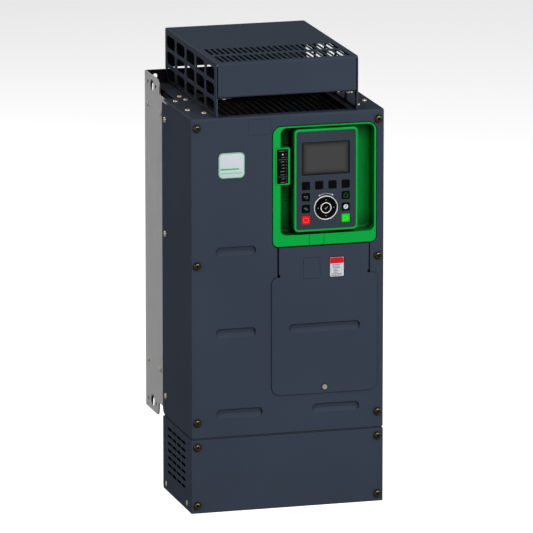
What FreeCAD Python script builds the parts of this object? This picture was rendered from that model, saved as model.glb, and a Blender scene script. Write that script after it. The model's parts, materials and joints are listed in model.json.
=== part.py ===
import FreeCAD
import Part
import math
import os

Vector = FreeCAD.Vector

# A wall-hung variable frequency drive: sheet-metal covers over a galvanised chassis, a ventilated
# hood on top, a cable connection box below, and a plug-in keypad in a coloured bezel.
#
# Every shape is drawn in working coordinates: x is across and centred, y is the distance behind
# the front face, z is the height above the underside of the connection box. save() then moves it
# so that the origin is the centre of the four wall holes, on the wall, with +Y into the wall.

# --- driving dimensions, millimetres ---
WIDTH = 320.0
DEPTH = 318.0
COVER_DEPTH = 180.0
BOX_DEPTH = 179.0
BOX_HEIGHT = 122.0
COVER_BOTTOM = 125.0
COVER_TOP = 648.0
HOOD_TOP = 736.0
SHEET = 1.5
PLATE = 2.0
GAP = 0.1
HOLE_GAP = 0.05
FAR = 400.0

# --- wall fixing and chassis ---
WALL_HOLE_X = 135.0
WALL_HOLE_Z = (124.5, 656.5)
WALL_HOLE_R = 4.0
HOOK_SLOT_Z = ((100.0, 119.0), (627.0, 651.0))
HOOK_SLOT_R = 5.0
PLATE_BOTTOM = 106.0
PLATE_TOP = 667.0
CHASSIS_X = 152.0
CHASSIS_FRONT = 24.0
INNER_X = CHASSIS_X - PLATE
SIDE_BOTTOM = 128.5
SIDE_TOP = 643.0
SIDE_SHOULDER = (172.0, 639.0)
UPPER_EAR_Y = 226.0
LOWER_EAR_Y = (235.0, 238.5)
LIFT_R = 10.0
LIFT_HOLES = ((273.0, 650.2), (274.0, 123.0))
SHACKLE_ROOM = 24.0
EAR_HOLES = ((298.0, 652.0, 3.5), (248.0, 652.0, 3.5), (300.0, 121.0, 3.0), (253.0, 122.0, 3.0))
RAIL_X = (140.0, 158.2)
RAIL_Z = (127.0, 643.5)
RAIL_DEPTH = 60.0
PANEL_Y = 176.0
DUCT_FRONT = 181.0
DUCT_BACK = DEPTH - PLATE - GAP
DUCT_BOTTOM = 130.0
DUCT_RISE = 76.0
LID_FRONT = 173.0
LID_X = 124.0
LID_STEP = 627.0
LID_BOTTOM = 602.0
OUTLET_SLOTS = 14
OUTLET_PITCH = 15.0
OUTLET_Y = (196.0, 300.0)
GUARD_RINGS = (12.0, 23.0, 34.0, 45.0)

# --- fasteners ---
SCREW_R = 6.25
SCREW_HEIGHT = 4.2
SCREW_LENGTH = 12.0
SCREW_TURN = 33.0
SCREW_SHANK_R = 2.5
SCREW_X = 150.5
COVER_SCREW_Z = (632.0, 408.0, 150.0)
BOX_SCREW_Z = (109.7, 13.0)
SIDE_SCREW_Y = 158.0
SIDE_SCREW_Z = (616.0, 428.0, 158.0)
SIDE_SCREW_R = 5.0
DOME_RIVET = (4.0, 2.2)
FLAT_RIVET = (4.6, 0.9)
RIVET_LENGTH = 4.5
RIVET_SHANK_R = 2.0
PLATE_RIVETS = ((297.0, 615.0), (216.4, 615.0), (298.5, 187.0), (222.0, 187.0))
BOX_RIVETS = ((159.0, 11.0), (29.0, 11.6))
TOP_RIVETS = ((147.0, 69.0), (147.0, 143.0), (127.5, 40.5), (127.5, 151.0), (130.5, 179.0))

# --- top of the front cover, with its air outlets ---
COVER_BACK_X = 141.4
COVER_BACK_Y = 170.0
RELIEF_Y = 140.0
RELIEF_Z = (641.0, 645.6)
OUTLET = (-106.0, 106.0, 14.0, 168.0)
REAR_OUTLET = (-106.0, 106.0, 190.0, 302.0)
GRILLE_FRAME = (-134.0, 134.0, 8.0, 172.5)
GRILLE_GAPS = 18
GRILLE_PITCH = 11.6

# --- hood ---
HOOD_X = 117.6
HOOD_FRONT_Y = 3.0
HOOD_FRONT_X = 114.3
HOOD_FRONT_BOTTOM = 678.6
HOOD_REAR_BOTTOM = 670.0
HOOD_LIP = 12.0
HOOD_SLOTS = 23
HOOD_SLOT_PITCH = 9.45
HOOD_SLOT_ROWS = ((10.0, 60.0), (71.0, 122.0))
HOOD_WINDOW = (50.0, 20.5)
HOOD_WINDOW_Y = (14.0, 74.5, 135.0, 195.5, 256.0)
HOOD_WINDOW_Z = (652.0, 678.8, 705.5)
FOOT_X = 134.0
FOOT_Y = (22.0, 303.0)
TAB = (90.0, 6.0, 40.0)
GUSSET_RIVET = (103.0, 10.5)
BEND_ROOM = 4.1

# --- connection box ---
VENT_Y = (136.5, 108.0, 79.5, 51.0)
VENT_ROWS = 7
VENT_TOP = 106.7
VENT_PITCH = 12.05
VENT_SIZE = (25.0, 5.5)
GLAND_X = (-41.0, 12.5, 66.0, 119.5)
GLAND_Y = 60.0
GLAND_BORE_R = 5.5
GLAND_THREAD_R = 8.0
GLAND_TOP = 14.0
GLAND_BOTTOM = -13.6
TRAY_FLOOR = 2.0
TRAY_BACK_TOP = 150.0
TRAY_POST_X = 142.0
TRAY_SIDE_DEPTH = 172.0
TRAY_SIDE_TOP = 24.0
RIM_Z = (101.0, 112.5)
LAP_Z = (113.0, 124.9)
LAP_DEPTH = 173.5

# --- keypad bezel ---
BEZEL = (-24.8, 146.9, 431.6, 627.5)
BEZEL_FRONT = -1.0
RECESS = (-12.3, 143.8, 449.7, 625.1)
RECESS_FLOOR = 29.0
BEZEL_WALL = 2.0
BEZEL_GAP = 1.4
PENINSULA = (-12.4, 3.4, 532.8, 593.6)
INDICATOR = (-18.7, 0.2, 535.0, 591.4)
LED_GROUPS = (3, 5, 2)
LED_PITCH = 5.3
LED_GROUP_STEP = 6.9
LED_X = -3.0
LED_TOP = 588.3
LED_R = 1.0
PORT_COVER = (-0.3, 10.2, 455.0, 505.0)
SEAM_X = (35.6, 60.1)

# --- keypad ---
KEYPAD_X = 61.9
KEYPAD_Z = 538.7
SHELL_SIZE = (105.3, 167.4)
FACE_SIZE = (98.9, 160.4)
SHELL_FRONT = -6.0
SHELL_BACK = 27.4
FACE_FRONT = -5.2
FACE_BACK = -3.2
WINDOW = (22.1, 101.5, 547.0, 600.8)
KEY_SIZE = 13.3
KEY_GAP = 0.2
KEY_FRONT = -6.1
KEY_COLUMNS = (28.6, 50.65, 72.75, 94.8)
KEY_ROWS = (530.0, 511.5, 492.6, 474.0)
KEY_PLACES = {
    "function_key_1": (0, 0),
    "function_key_2": (1, 0),
    "function_key_3": (2, 0),
    "function_key_4": (3, 0),
    "escape_key": (0, 1),
    "local_remote_key": (0, 2),
    "stop_key": (0, 3),
    "home_key": (3, 1),
    "info_key": (3, 2),
    "run_key": (3, 3),
}
WHEEL_X = 61.8
WHEEL_Z = 492.6
TRIM_R = (17.6, 19.9)
WHEEL_R = (7.2, 17.5)
OK_R = 7.1
BOARD_Y = 1.6
PLUG = (52.0, 72.0, 512.0, 526.0)

# --- access cover ---
DOOR = (-27.0, 149.0, 187.0, 381.3)
DOOR_TOP_R = 10.5
DOOR_FOOT_R = 14.5
DOOR_NOTCH = (2.0, 4.6)
DOOR_BACK = -0.1
TONGUE = (-15.1, 134.9)
TONGUE_TOP = 430.0
TONGUE_ROLL_Z = TONGUE_TOP - SHEET / 2
DOOR_OPENING = (-17.3, 137.1, 206.0, 436.0)
DOOR_SCREW = (61.2, 196.8)
DOOR_SCREW_R = 4.2
DOOR_SHANK_R = 2.4

# --- pressed-in bars, labels ---
BAR_HEIGHT = 14.4
BAR_CORNER = 6.6
BAR_PROFILE = (
    # depth, height above the bar's middle
    (0.0, 7.2),
    (1.1, 6.6),
    (2.0, 5.3),
    (2.7, 3.2),
    (3.2, -0.6),
    (0.0, -7.2),
)
BAR_BACK = (
    (0.8, 8.8),
    (2.7, 7.8),
    (3.9, 5.6),
    (4.7, -1.2),
    (0.8, -9.0),
)
BAR_MARGIN = 1.8
COVER_BARS = (
    (-119.4, -53.2, 429.3),
    (-119.4, -53.2, 295.6),
    (-119.0, -42.0, 162.8),
    (41.3, 119.4, 162.5),
)
DOOR_BAR = (1.6, 120.2, 296.5)
BADGE = (-115.0, -71.5, 548.5, 590.0)
BADGE_R = 7.5
LABEL = (70.0, 93.0, 378.0, 409.5)
BLANK_LABEL = (25.6, 53.6, 376.7, 411.6)
COVER_MARK = (-64.8, -27.9, 616.0, 642.0)
GROOVE = 0.5
GROOVE_DEPTH = 0.3

# --- inside ---
HEAT_SINK = (120.0, 178.2, 190.0, 305.0, 185.0, 598.0)
FIN_COUNT = 21
FIN_THICKNESS = 2.5
FAN_X = 62.0
FAN_Y = 250.0
FAN_SIZE = 119.0
FAN_BOTTOM = 132.2
FAN_HEIGHT = 38.0
FAN_BORE_R = 57.0
FAN_HUB_R = 21.5
FAN_BLADES = 7
POWER_BOARD = (115.0, 140.0, 330.0, 596.0)
CONTROL_BOARD = (-18.0, 138.0, 54.0, 214.0, 600.0)


# --- helpers ---
def point(axis, w, u, v):
    """A point from its place w along axis and its two other coordinates, in x, y, z order."""
    if axis == "x":
        return Vector(w, u, v)
    if axis == "y":
        return Vector(u, w, v)
    return Vector(u, v, w)


def prism(axis, start, end, outline):
    """Extrude a closed outline of (u, v, corner radius) along axis, from start to end."""
    edges = []
    stops = []
    count = len(outline)
    for i in range(count):
        u, v, radius = outline[i]
        here = Vector(u, v, 0)
        before = Vector(outline[i - 1][0], outline[i - 1][1], 0)
        after = Vector(outline[(i + 1) % count][0], outline[(i + 1) % count][1], 0)
        if radius <= 0:
            stops.append((here, None, here))
            continue
        back = (before - here).normalize()
        on = (after - here).normalize()
        half = back.getAngle(on) / 2
        reach = radius / math.tan(half)
        centre = here + (back + on).normalize() * (radius / math.sin(half))
        middle = centre + (here - centre).normalize() * radius
        stops.append((here + back * reach, middle, here + on * reach))
    for i in range(count):
        first, middle, last = stops[i]
        if middle is not None:
            arc = [point(axis, start, p.x, p.y) for p in (first, middle, last)]
            edges.append(Part.Arc(*arc).toShape())
        following = stops[(i + 1) % count][0]
        if (following - last).Length > 1e-6:
            ends = [point(axis, start, p.x, p.y) for p in (last, following)]
            edges.append(Part.makeLine(*ends))
    face = Part.Face(Part.Wire(edges))
    return face.extrude(point(axis, end - start, 0, 0))


def slab(axis, start, end, u0, u1, v0, v1, radius=0.0):
    """A rectangular block with rounded corners, extruded along axis."""
    corners = ((u0, v0), (u1, v0), (u1, v1), (u0, v1))
    return prism(axis, start, end, [(u, v, radius) for u, v in corners])


def box(x0, x1, y0, y1, z0, z1):
    return Part.makeBox(x1 - x0, y1 - y0, z1 - z0, Vector(x0, y0, z0))


def rod(axis, radius, start, end, u, v):
    """A cylinder along axis, from start to end, about the line through u, v."""
    return Part.makeCylinder(radius, end - start, point(axis, start, u, v), point(axis, 1, 0, 0))


def hexagon(across_flats, z0, z1, x, y):
    radius = across_flats / math.sqrt(3)
    turns = [math.radians(60 * i) for i in range(6)]
    corners = [(x + radius * math.cos(t), y + radius * math.sin(t), 0) for t in turns]
    return prism("z", z0, z1, corners)


def grown(limits, by):
    return (limits[0] - by, limits[1] + by, limits[2] - by, limits[3] + by)


def mirrored(shape):
    return shape.mirror(Vector(0, 0, 0), Vector(1, 0, 0))


def edges_at(shape, **planes):
    """The edges lying wholly on every plane given, such as x=10, z=0."""
    found = []
    for edge in shape.Edges:
        bounds = edge.BoundBox
        low = {"x": bounds.XMin, "y": bounds.YMin, "z": bounds.ZMin}
        high = {"x": bounds.XMax, "y": bounds.YMax, "z": bounds.ZMax}
        if all(abs(low[k] - v) < 1e-3 and abs(high[k] - v) < 1e-3 for k, v in planes.items()):
            found.append(edge)
    return found


def save(name, shape):
    shape = shape.copy()
    shape.translate(Vector(0, -DEPTH, -sum(WALL_HOLE_Z) / 2))
    if not shape.isValid() or not shape.Solids:
        print("check this shape:", name)
    shape.exportStep("parts/" + name + ".step")


def groove(limits, radius, front):
    """A fine engraved outline on a face at y = front."""
    outer = slab("y", front - 1, front + GROOVE_DEPTH, *limits, radius)
    return outer.cut(slab("y", front - 2, front + 1, *grown(limits, -GROOVE), radius - GROOVE))


def bar_body(profile, front, start, x0, x1, z, margin):
    """A long bar with round ends, from start to a depth that follows a profile, behind y = front."""
    reach = BAR_HEIGHT / 2 + margin
    ends = grown((x0, x1, z, z), margin)
    body = slab("y", front + start, front + 6, *ends[:2], z - reach, z + reach, BAR_CORNER + margin)
    depths = [(front - 2, z + profile[0][1], 0)]
    depths += [(front + depth, z + height, 0) for depth, height in profile]
    depths.append((front - 2, z + profile[-1][1], 0))
    return body.common(prism("x", x0 - 9, x1 + 9, depths))


def pressed_bar(sheet, x0, x1, z, front):
    """Press a long bar into a front sheet: steep along its top, with a flat slope along its foot."""
    boss = bar_body(BAR_BACK, front, SHEET / 2, x0, x1, z, BAR_MARGIN)
    hollow = bar_body(BAR_PROFILE, front, -1, x0, x1, z, 0.0)
    return sheet.fuse(boss).cut(hollow).removeSplitter()


# --- chassis ---
def wall_plate():
    """The plate on the wall: four fixing holes, each with a slot beside it to hook the drive on."""
    plate = box(-INNER_X + GAP, INNER_X - GAP, DEPTH - PLATE, DEPTH, PLATE_BOTTOM, PLATE_TOP)
    cuts = []
    for x in (-WALL_HOLE_X, WALL_HOLE_X):
        cuts += [rod("y", WALL_HOLE_R, 0, FAR, x, z) for z in WALL_HOLE_Z]
        for low, high in HOOK_SLOT_Z:
            radius = min(HOOK_SLOT_R, (high - low) / 2) - HOLE_GAP
            cuts.append(slab("y", 0, FAR, x - HOOK_SLOT_R, x + HOOK_SLOT_R, low, high, radius))
    return plate.cut(cuts)


def side_plate():
    """The right-hand galvanised side, with a lifting ear at the top and a fixing ear below."""
    outline = [
        (CHASSIS_FRONT, SIDE_BOTTOM, 0),
        (LOWER_EAR_Y[0], SIDE_BOTTOM, 4),
        (LOWER_EAR_Y[1], PLATE_BOTTOM, 8),
        (DEPTH, PLATE_BOTTOM, 0),
        (DEPTH, PLATE_TOP, 0),
        (UPPER_EAR_Y, PLATE_TOP, 18),
        (UPPER_EAR_Y, SIDE_TOP, 4),
        (SIDE_SHOULDER[0], SIDE_TOP, 0),
        (*SIDE_SHOULDER, 0),
        (CHASSIS_FRONT, SIDE_SHOULDER[1], 0),
    ]
    plate = prism("x", INNER_X, CHASSIS_X, outline)
    holes = [rod("x", LIFT_R, 0, FAR, y, z) for y, z in LIFT_HOLES]
    holes += [rod("x", r, 0, FAR, y, z) for y, z, r in EAR_HOLES]
    holes += [rod("x", RIVET_SHANK_R + HOLE_GAP, 0, FAR, y, z) for y, z in PLATE_RIVETS]
    holes += [rod("x", SCREW_SHANK_R + HOLE_GAP, 0, FAR, SIDE_SCREW_Y, z) for z in SIDE_SCREW_Z]
    return plate.cut(holes)


def pair_of(x):
    """The same distance to the left and to the right of the middle."""
    return (-x, x)


def plate_rivet_holes(low, high):
    """Holes for the side plates' rivets whose height is between low and high."""
    tight = RIVET_SHANK_R + HOLE_GAP
    return [rod("x", tight, -FAR, FAR, y, z) for y, z in PLATE_RIVETS if low < z < high]


def top_rivet_holes():
    tight = RIVET_SHANK_R + HOLE_GAP
    return [rod("z", tight, 635, 655, side * x, y) for side in (-1, 1) for x, y in TOP_RIVETS]


def top_plate():
    """The duct's lid, a hat section: its web lies under the cover, its flanges on the chassis sides."""
    lid = COVER_TOP - 2 * (SHEET + GAP)
    wide = INNER_X - GAP
    half = [
        (LID_X, lid, 0),
        (LID_X, LID_STEP, 0),
        (wide, LID_STEP, 0),
        (wide, LID_BOTTOM, 0),
        (wide - PLATE, LID_BOTTOM, 0),
        (wide - PLATE, LID_STEP - PLATE, 0),
        (LID_X - PLATE, LID_STEP - PLATE, 0),
        (LID_X - PLATE, lid - PLATE, 0),
    ]
    outline = half + [(-x, z, radius) for x, z, radius in reversed(half)]
    hat = prism("y", DUCT_FRONT, DUCT_BACK, outline)
    apron = box(-COVER_BACK_X, COVER_BACK_X, LID_FRONT, DUCT_FRONT + 1, lid - PLATE, lid)
    cuts = []
    for i in range(OUTLET_SLOTS):
        x = (i - (OUTLET_SLOTS - 1) / 2) * OUTLET_PITCH
        cuts.append(slab("z", 0, 2 * FAR, x - 5, x + 5, *OUTLET_Y, 4.9))
    cuts += plate_rivet_holes(LID_BOTTOM, LID_STEP) + top_rivet_holes()
    return hat.fuse(apron).removeSplitter().cut(cuts)


def bottom_plate():
    """The duct's floor, with a ring-and-spoke finger guard pressed out under each fan."""
    wide = INNER_X - GAP
    top = DUCT_BOTTOM + DUCT_RISE
    plate = box(-wide, wide, DUCT_FRONT, DUCT_BACK, DUCT_BOTTOM, top)
    plate = plate.cut(box(PLATE - wide, wide - PLATE, 0, FAR, DUCT_BOTTOM + PLATE, FAR))
    cuts = plate_rivet_holes(DUCT_BOTTOM, top)
    for x in pair_of(FAN_X):
        spokes = [
            box(x - 60, x + 60, FAN_Y - 2, FAN_Y + 2, 0, FAR),
            box(x - 2, x + 2, FAN_Y - 60, FAN_Y + 60, 0, FAR),
        ]
        for inner in GUARD_RINGS:
            ring = rod("z", inner + 8, 125, 135, x, FAN_Y).cut(rod("z", inner, 0, FAR, x, FAN_Y))
            cuts.append(ring.cut(spokes))
    for x in pair_of(INNER_X):
        inside = sorted((x, x * (1 - SHACKLE_ROOM / INNER_X)))
        cuts.append(rod("x", LIFT_R + 3, *inside, *LIFT_HOLES[1]))
    return plate.cut(cuts)


def front_rails():
    """Two folded angles behind the cover's screws, riveted to the chassis sides."""
    seat = SHEET + GAP
    wide = INNER_X - GAP
    front = box(*RAIL_X, seat, seat + PLATE, *RAIL_Z)
    side = box(wide - PLATE, wide, seat, RAIL_DEPTH, *RAIL_Z)
    holes = [rod("y", SCREW_SHANK_R + HOLE_GAP, 0, SCREW_LENGTH + 2, SCREW_X, z) for z in COVER_SCREW_Z]
    rail = front.fuse(side).cut(holes).removeSplitter()
    bezel_room = box(0, wide - PLATE, 0, RECESS_FLOOR + 6, BEZEL[2] - 6.6, BEZEL[3] + 6.5)
    return Part.makeCompound([rail.cut(bezel_room), mirrored(rail)])


def mounting_panel():
    wide = INNER_X - GAP
    panel = box(-wide, wide, PANEL_Y, PANEL_Y + PLATE, DUCT_BOTTOM + 4, COVER_TOP - 8)
    return panel.cut(box(-92, 92, 0, FAR, 345, 575))


# --- painted covers ---
def front_cover():
    half = WIDTH / 2
    outline = [
        (0, COVER_BOTTOM, 0),
        (COVER_DEPTH, COVER_BOTTOM, 11),
        (COVER_DEPTH, COVER_TOP, 0),
        (0, COVER_TOP, 4),
    ]
    cover = prism("x", -half, half, outline)
    upright = [e for e in edges_at(cover, y=0) if e.BoundBox.ZLength > 400]
    cover = cover.makeFillet(1.2, upright)
    skin = half - SHEET
    under = COVER_TOP - SHEET
    cover = cover.fuse(box(-COVER_BACK_X, COVER_BACK_X, COVER_BACK_Y, DUCT_BACK, under, COVER_TOP))
    inner = [(SHEET, 0, 0), (FAR, 0, 0), (FAR, under, 0), (SHEET, under, 2.5)]
    cover = cover.cut(prism("x", -skin, skin, inner))
    for x0, x1, z in COVER_BARS:
        cover = pressed_bar(cover, x0, x1, z, 0.0)
    loose = SCREW_SHANK_R + 0.3
    low, high = COVER_TOP - 8, COVER_TOP + 8
    cuts = [bezel_opening(), box(*DOOR_OPENING[:2], -5, 5, *DOOR_OPENING[2:])]
    cuts += [rod("x", loose, -FAR, FAR, SIDE_SCREW_Y, z) for z in SIDE_SCREW_Z]
    cuts.append(rod("y", DOOR_SHANK_R + 1, -5, 5, *DOOR_SCREW))
    cuts += [slab("z", low, high, *OUTLET, 6), slab("z", low, high, *REAR_OUTLET, 6)]
    cuts += top_rivet_holes()
    cuts.append(groove(COVER_MARK, 1.5, 0.0))
    for side in (-1, 1):
        cuts += [rod("y", loose, -5, 5, side * SCREW_X, z) for z in COVER_SCREW_Z]
        near, far = sorted((side * COVER_BACK_X, side * (half + 5)))
        cuts.append(box(near, far, COVER_BACK_Y, COVER_DEPTH + 5, RELIEF_Z[0], high))
        edge = side * half
        cuts.append(box(edge - 4, edge + 4, RELIEF_Y, COVER_BACK_Y + 1, *RELIEF_Z))
        near, far = sorted((side * (HOOD_X - SHEET - GAP), side * (HOOD_X + GAP)))
        cuts.append(box(near, far, FOOT_Y[0] - GAP, FOOT_Y[1] + GAP, low, high))
    return cover.cut(cuts)


def bezel_outline(by):
    x0, x1, z0, z1 = grown(BEZEL, by)
    return [(x0, z0, 9 + by), (x1, z0, 9 + by), (x1, z1, 14 + by), (x0, z1, 14 + by)]


def bezel_opening():
    """The cover's cut-out for the bezel, with a small square relief at each lower corner."""
    opening = prism("y", -5, 5, bezel_outline(BEZEL_GAP))
    low = BEZEL[2] - BEZEL_GAP
    left = box(BEZEL[0] + 3.4, BEZEL[0] + 12, -5, 5, low, low + 3)
    right = box(BEZEL[1] - 12, BEZEL[1] - 3.4, -5, 5, low, low + 3)
    return opening.fuse([left, right])


def top_grille():
    """Black bars across the electronics compartment's air outlet, under the hood."""
    frame = slab("z", COVER_TOP - 6.5, COVER_TOP - 2 * (SHEET + GAP), *GRILLE_FRAME, 4)
    y0, y1 = OUTLET[2] + 4, OUTLET[3] - 4
    gaps = []
    for i in range(GRILLE_GAPS):
        x = (i - (GRILLE_GAPS - 1) / 2) * GRILLE_PITCH
        gaps.append(slab("z", 0, 2 * FAR, x - 3.6, x + 3.6, y0, y1, 3.5))
    return frame.cut(gaps + top_rivet_holes())


def hood_top():
    """One folded sheet: the hood's front, top and rear, with the slots and a lip under the front."""
    inner_front = HOOD_FRONT_Y + SHEET
    inner_top = HOOD_TOP - SHEET
    lip_top = HOOD_FRONT_BOTTOM + SHEET
    outline = [
        (HOOD_FRONT_Y, HOOD_FRONT_BOTTOM, 3.2),
        (HOOD_FRONT_Y, HOOD_TOP, 4),
        (DEPTH, HOOD_TOP, 4),
        (DEPTH, HOOD_REAR_BOTTOM, 0),
        (DEPTH - SHEET, HOOD_REAR_BOTTOM, 0),
        (DEPTH - SHEET, inner_top, 2.5),
        (inner_front, inner_top, 2.5),
        (inner_front, lip_top, 1.7),
        (inner_front + HOOD_LIP, lip_top, 0),
        (inner_front + HOOD_LIP, HOOD_FRONT_BOTTOM, 0),
    ]
    sheet = prism("x", -HOOD_X, HOOD_X, outline)
    rims = edges_at(sheet, x=-HOOD_X, z=HOOD_TOP) + edges_at(sheet, x=HOOD_X, z=HOOD_TOP)
    sheet = sheet.makeFillet(1.3, rims)
    cuts = []
    for side in (-1, 1):
        near, far = sorted((side * HOOD_FRONT_X, side * (HOOD_X + 1)))
        cuts.append(box(near, far, 0, 20, 0, inner_top - 2.6))
        rivet_x = side * GUSSET_RIVET[0]
        cuts.append(rod("z", RIVET_SHANK_R + HOLE_GAP, 670, 690, rivet_x, GUSSET_RIVET[1]))
    for i in range(HOOD_SLOTS):
        x = (i - (HOOD_SLOTS - 1) / 2) * HOOD_SLOT_PITCH
        for y0, y1 in HOOD_SLOT_ROWS:
            cuts.append(slab("z", HOOD_TOP - 10, HOOD_TOP + 5, x - 3, x + 3, y0, y1, 2.95))
    return sheet.cut(cuts).removeSplitter()


def hood_side():
    """The right-hand hood side: windows, a hemmed corner, a tab, and a foot that goes under the cover."""
    inner = HOOD_X - SHEET
    top = HOOD_TOP - SHEET - GAP
    shoulder = top - 2.9
    outline = [
        (HOOD_FRONT_Y, COVER_TOP + GAP, 0),
        (HOOD_FRONT_Y, shoulder, 0),
        (HOOD_FRONT_Y + BEND_ROOM, shoulder, 0),
        (HOOD_FRONT_Y + BEND_ROOM, top, 0),
        (DEPTH - BEND_ROOM, top, 0),
        (DEPTH - BEND_ROOM, shoulder, 0),
        (DUCT_BACK, shoulder, 0),
        (DUCT_BACK, COVER_TOP + GAP, 0),
    ]
    panel = prism("x", inner, HOOD_X, outline)
    tab_top = HOOD_FRONT_BOTTOM - GAP
    hem = box(HOOD_X - 2.6, HOOD_X, HOOD_FRONT_Y, HOOD_FRONT_Y + 2.6, COVER_TOP + GAP, tab_top)
    foot_top = COVER_TOP - SHEET - GAP
    foot = box(inner, HOOD_X, *FOOT_Y, foot_top - SHEET, COVER_TOP + 2 * GAP)
    foot = foot.fuse(box(inner, FOOT_X, *FOOT_Y, foot_top - SHEET, foot_top))
    near_x, near_y, far_y = TAB
    tab_outline = [
        (near_x, near_y, 3),
        (inner + 0.5, near_y, 0),
        (inner + 0.5, far_y, 0),
        (near_x, far_y - 14, 10),
    ]
    tab = prism("z", tab_top - SHEET, tab_top, tab_outline)
    side = panel.fuse([hem, foot, tab]).removeSplitter()
    cuts = []
    for y in HOOD_WINDOW_Y:
        for z in HOOD_WINDOW_Z:
            cuts.append(slab("x", 110, 120, y, y + HOOD_WINDOW[0], z, z + HOOD_WINDOW[1], 8))
    cuts += top_rivet_holes()
    cuts.append(rod("z", RIVET_SHANK_R + HOLE_GAP, 670, 690, *GUSSET_RIVET))
    return side.cut(cuts)


# --- connection box ---
def box_cover():
    half = WIDTH / 2
    outline = [(0, 0, 2), (BOX_DEPTH, 0, 5), (BOX_DEPTH, BOX_HEIGHT, 5), (0, BOX_HEIGHT, 1.2)]
    cover = prism("x", -half, half, outline)
    skin = half - SHEET
    cover = cover.cut(box(-skin, skin, SHEET, FAR, -FAR, FAR))
    lap = box(-skin, skin, SHEET, LAP_DEPTH, *LAP_Z)
    lap = lap.cut(box(SHEET - skin, skin - SHEET, 2 * SHEET, FAR, -FAR, FAR))
    cover = cover.fuse(lap).removeSplitter()
    cuts = [rod("y", SCREW_SHANK_R + 0.3, -5, 5, x, z) for x in pair_of(SCREW_X) for z in BOX_SCREW_Z]
    cuts += [rod("x", RIVET_SHANK_R + HOLE_GAP, -FAR, FAR, y, z) for y, z in BOX_RIVETS]
    reach, rise = VENT_SIZE[0] / 2, VENT_SIZE[1] / 2
    for y in VENT_Y:
        for row in range(VENT_ROWS):
            z = VENT_TOP - row * VENT_PITCH
            cuts.append(slab("x", -FAR, FAR, y - reach, y + reach, z - rise, z + rise, rise - HOLE_GAP))
    return cover.cut(cuts)


def box_tray():
    """The box's floor and back wall, posts for the front screws, and a rail between them."""
    wide = WIDTH / 2 - SHEET - GAP
    near = SHEET + GAP
    base = TRAY_FLOOR - 0.5
    floor = box(-wide, wide, near, BOX_DEPTH - 2, TRAY_FLOOR - SHEET, TRAY_FLOOR)
    parts = [
        box(4 - INNER_X, INNER_X - 4, PANEL_Y - GAP - SHEET, PANEL_Y - GAP, base, TRAY_BACK_TOP),
        box(-wide, wide, PANEL_Y - GAP - SHEET, PANEL_Y - GAP, base, RIM_Z[1]),
        box(-wide, wide, near, near + SHEET, *RIM_Z),
    ]
    for side in (-1, 1):
        low, high = sorted((side * TRAY_POST_X, side * wide))
        parts.append(box(low, high, near, near + SHEET, base, RIM_Z[1] - 1))
        low, high = sorted((side * (wide - SHEET), side * wide))
        parts.append(box(low, high, near, TRAY_SIDE_DEPTH, base, TRAY_SIDE_TOP))
    tray = floor.fuse(parts)
    cuts = [rod("y", SCREW_SHANK_R + HOLE_GAP, 0, 6, x, z) for x in pair_of(SCREW_X) for z in BOX_SCREW_Z]
    cuts += [rod("x", RIVET_SHANK_R + HOLE_GAP, -FAR, FAR, y, z) for y, z in BOX_RIVETS]
    opening = grown((GLAND_X[0], GLAND_X[-1], GLAND_Y, GLAND_Y), 22)
    cuts.append(slab("z", -5, 10, *opening, 6))
    return tray.cut(cuts).removeSplitter()


def gland_plate():
    low = TRAY_FLOOR + GAP
    limits = grown((GLAND_X[0], GLAND_X[-1], GLAND_Y, GLAND_Y), 33)
    plate = slab("z", low, low + PLATE, *limits, 4)
    return plate.cut([rod("z", GLAND_THREAD_R + HOLE_GAP, 0, 10, x, GLAND_Y) for x in GLAND_X])


def cable_glands():
    """Brass glands: a dome nut and hexagon under the plate, a thread through it, one clear bore."""
    glands = []
    shoulder = TRAY_FLOOR + GAP
    for x in GLAND_X:
        dome = rod("z", 10.4, GLAND_BOTTOM, -5.5, x, GLAND_Y)
        dome = dome.makeFillet(4, edges_at(dome, z=GLAND_BOTTOM))
        flats = hexagon(22, -6, shoulder, x, GLAND_Y)
        thread = rod("z", GLAND_THREAD_R, shoulder - 1, GLAND_TOP, x, GLAND_Y)
        body = dome.fuse([flats, thread])
        glands.append(body.cut(rod("z", GLAND_BORE_R, GLAND_BOTTOM - 5, GLAND_TOP + 5, x, GLAND_Y)))
    return Part.makeCompound(glands)


def gland_nuts():
    low = TRAY_FLOOR + PLATE + 2 * GAP
    nuts = []
    for x in GLAND_X:
        nut = hexagon(24, low, low + 5, x, GLAND_Y)
        nuts.append(nut.cut(rod("z", GLAND_THREAD_R + HOLE_GAP, low - 5, low + 10, x, GLAND_Y)))
    return Part.makeCompound(nuts)


# --- fasteners ---
def cross_recess(bottom, width, reach):
    """A cruciform driver recess about the axis x = z = 0, cut from the front back to y = bottom."""
    half = width / 2
    return box(-reach, reach, -FAR, bottom, -half, half).fuse(box(-half, half, -FAR, bottom, -reach, reach))


def pan_head(radius, height, shank_r, length):
    """A domed screw along +Y whose seat is at y = 0."""
    head = rod("y", radius, -height, 0, 0, 0)
    head = head.makeFillet(height * 0.8, edges_at(head, y=-height))
    recess = cross_recess(-height * 0.35, radius * 0.26, radius * 0.5)
    return head.cut(recess).fuse(rod("y", shank_r, -0.01, length, 0, 0)).removeSplitter()


def moved(shape, x, y, z, turn=0.0, axis=Vector(0, 0, 1)):
    """A copy turned about the origin by turn degrees, then moved."""
    copy = shape.copy()
    copy.rotate(Vector(0, 0, 0), axis, turn)
    copy.translate(Vector(x, y, z))
    return copy


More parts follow.
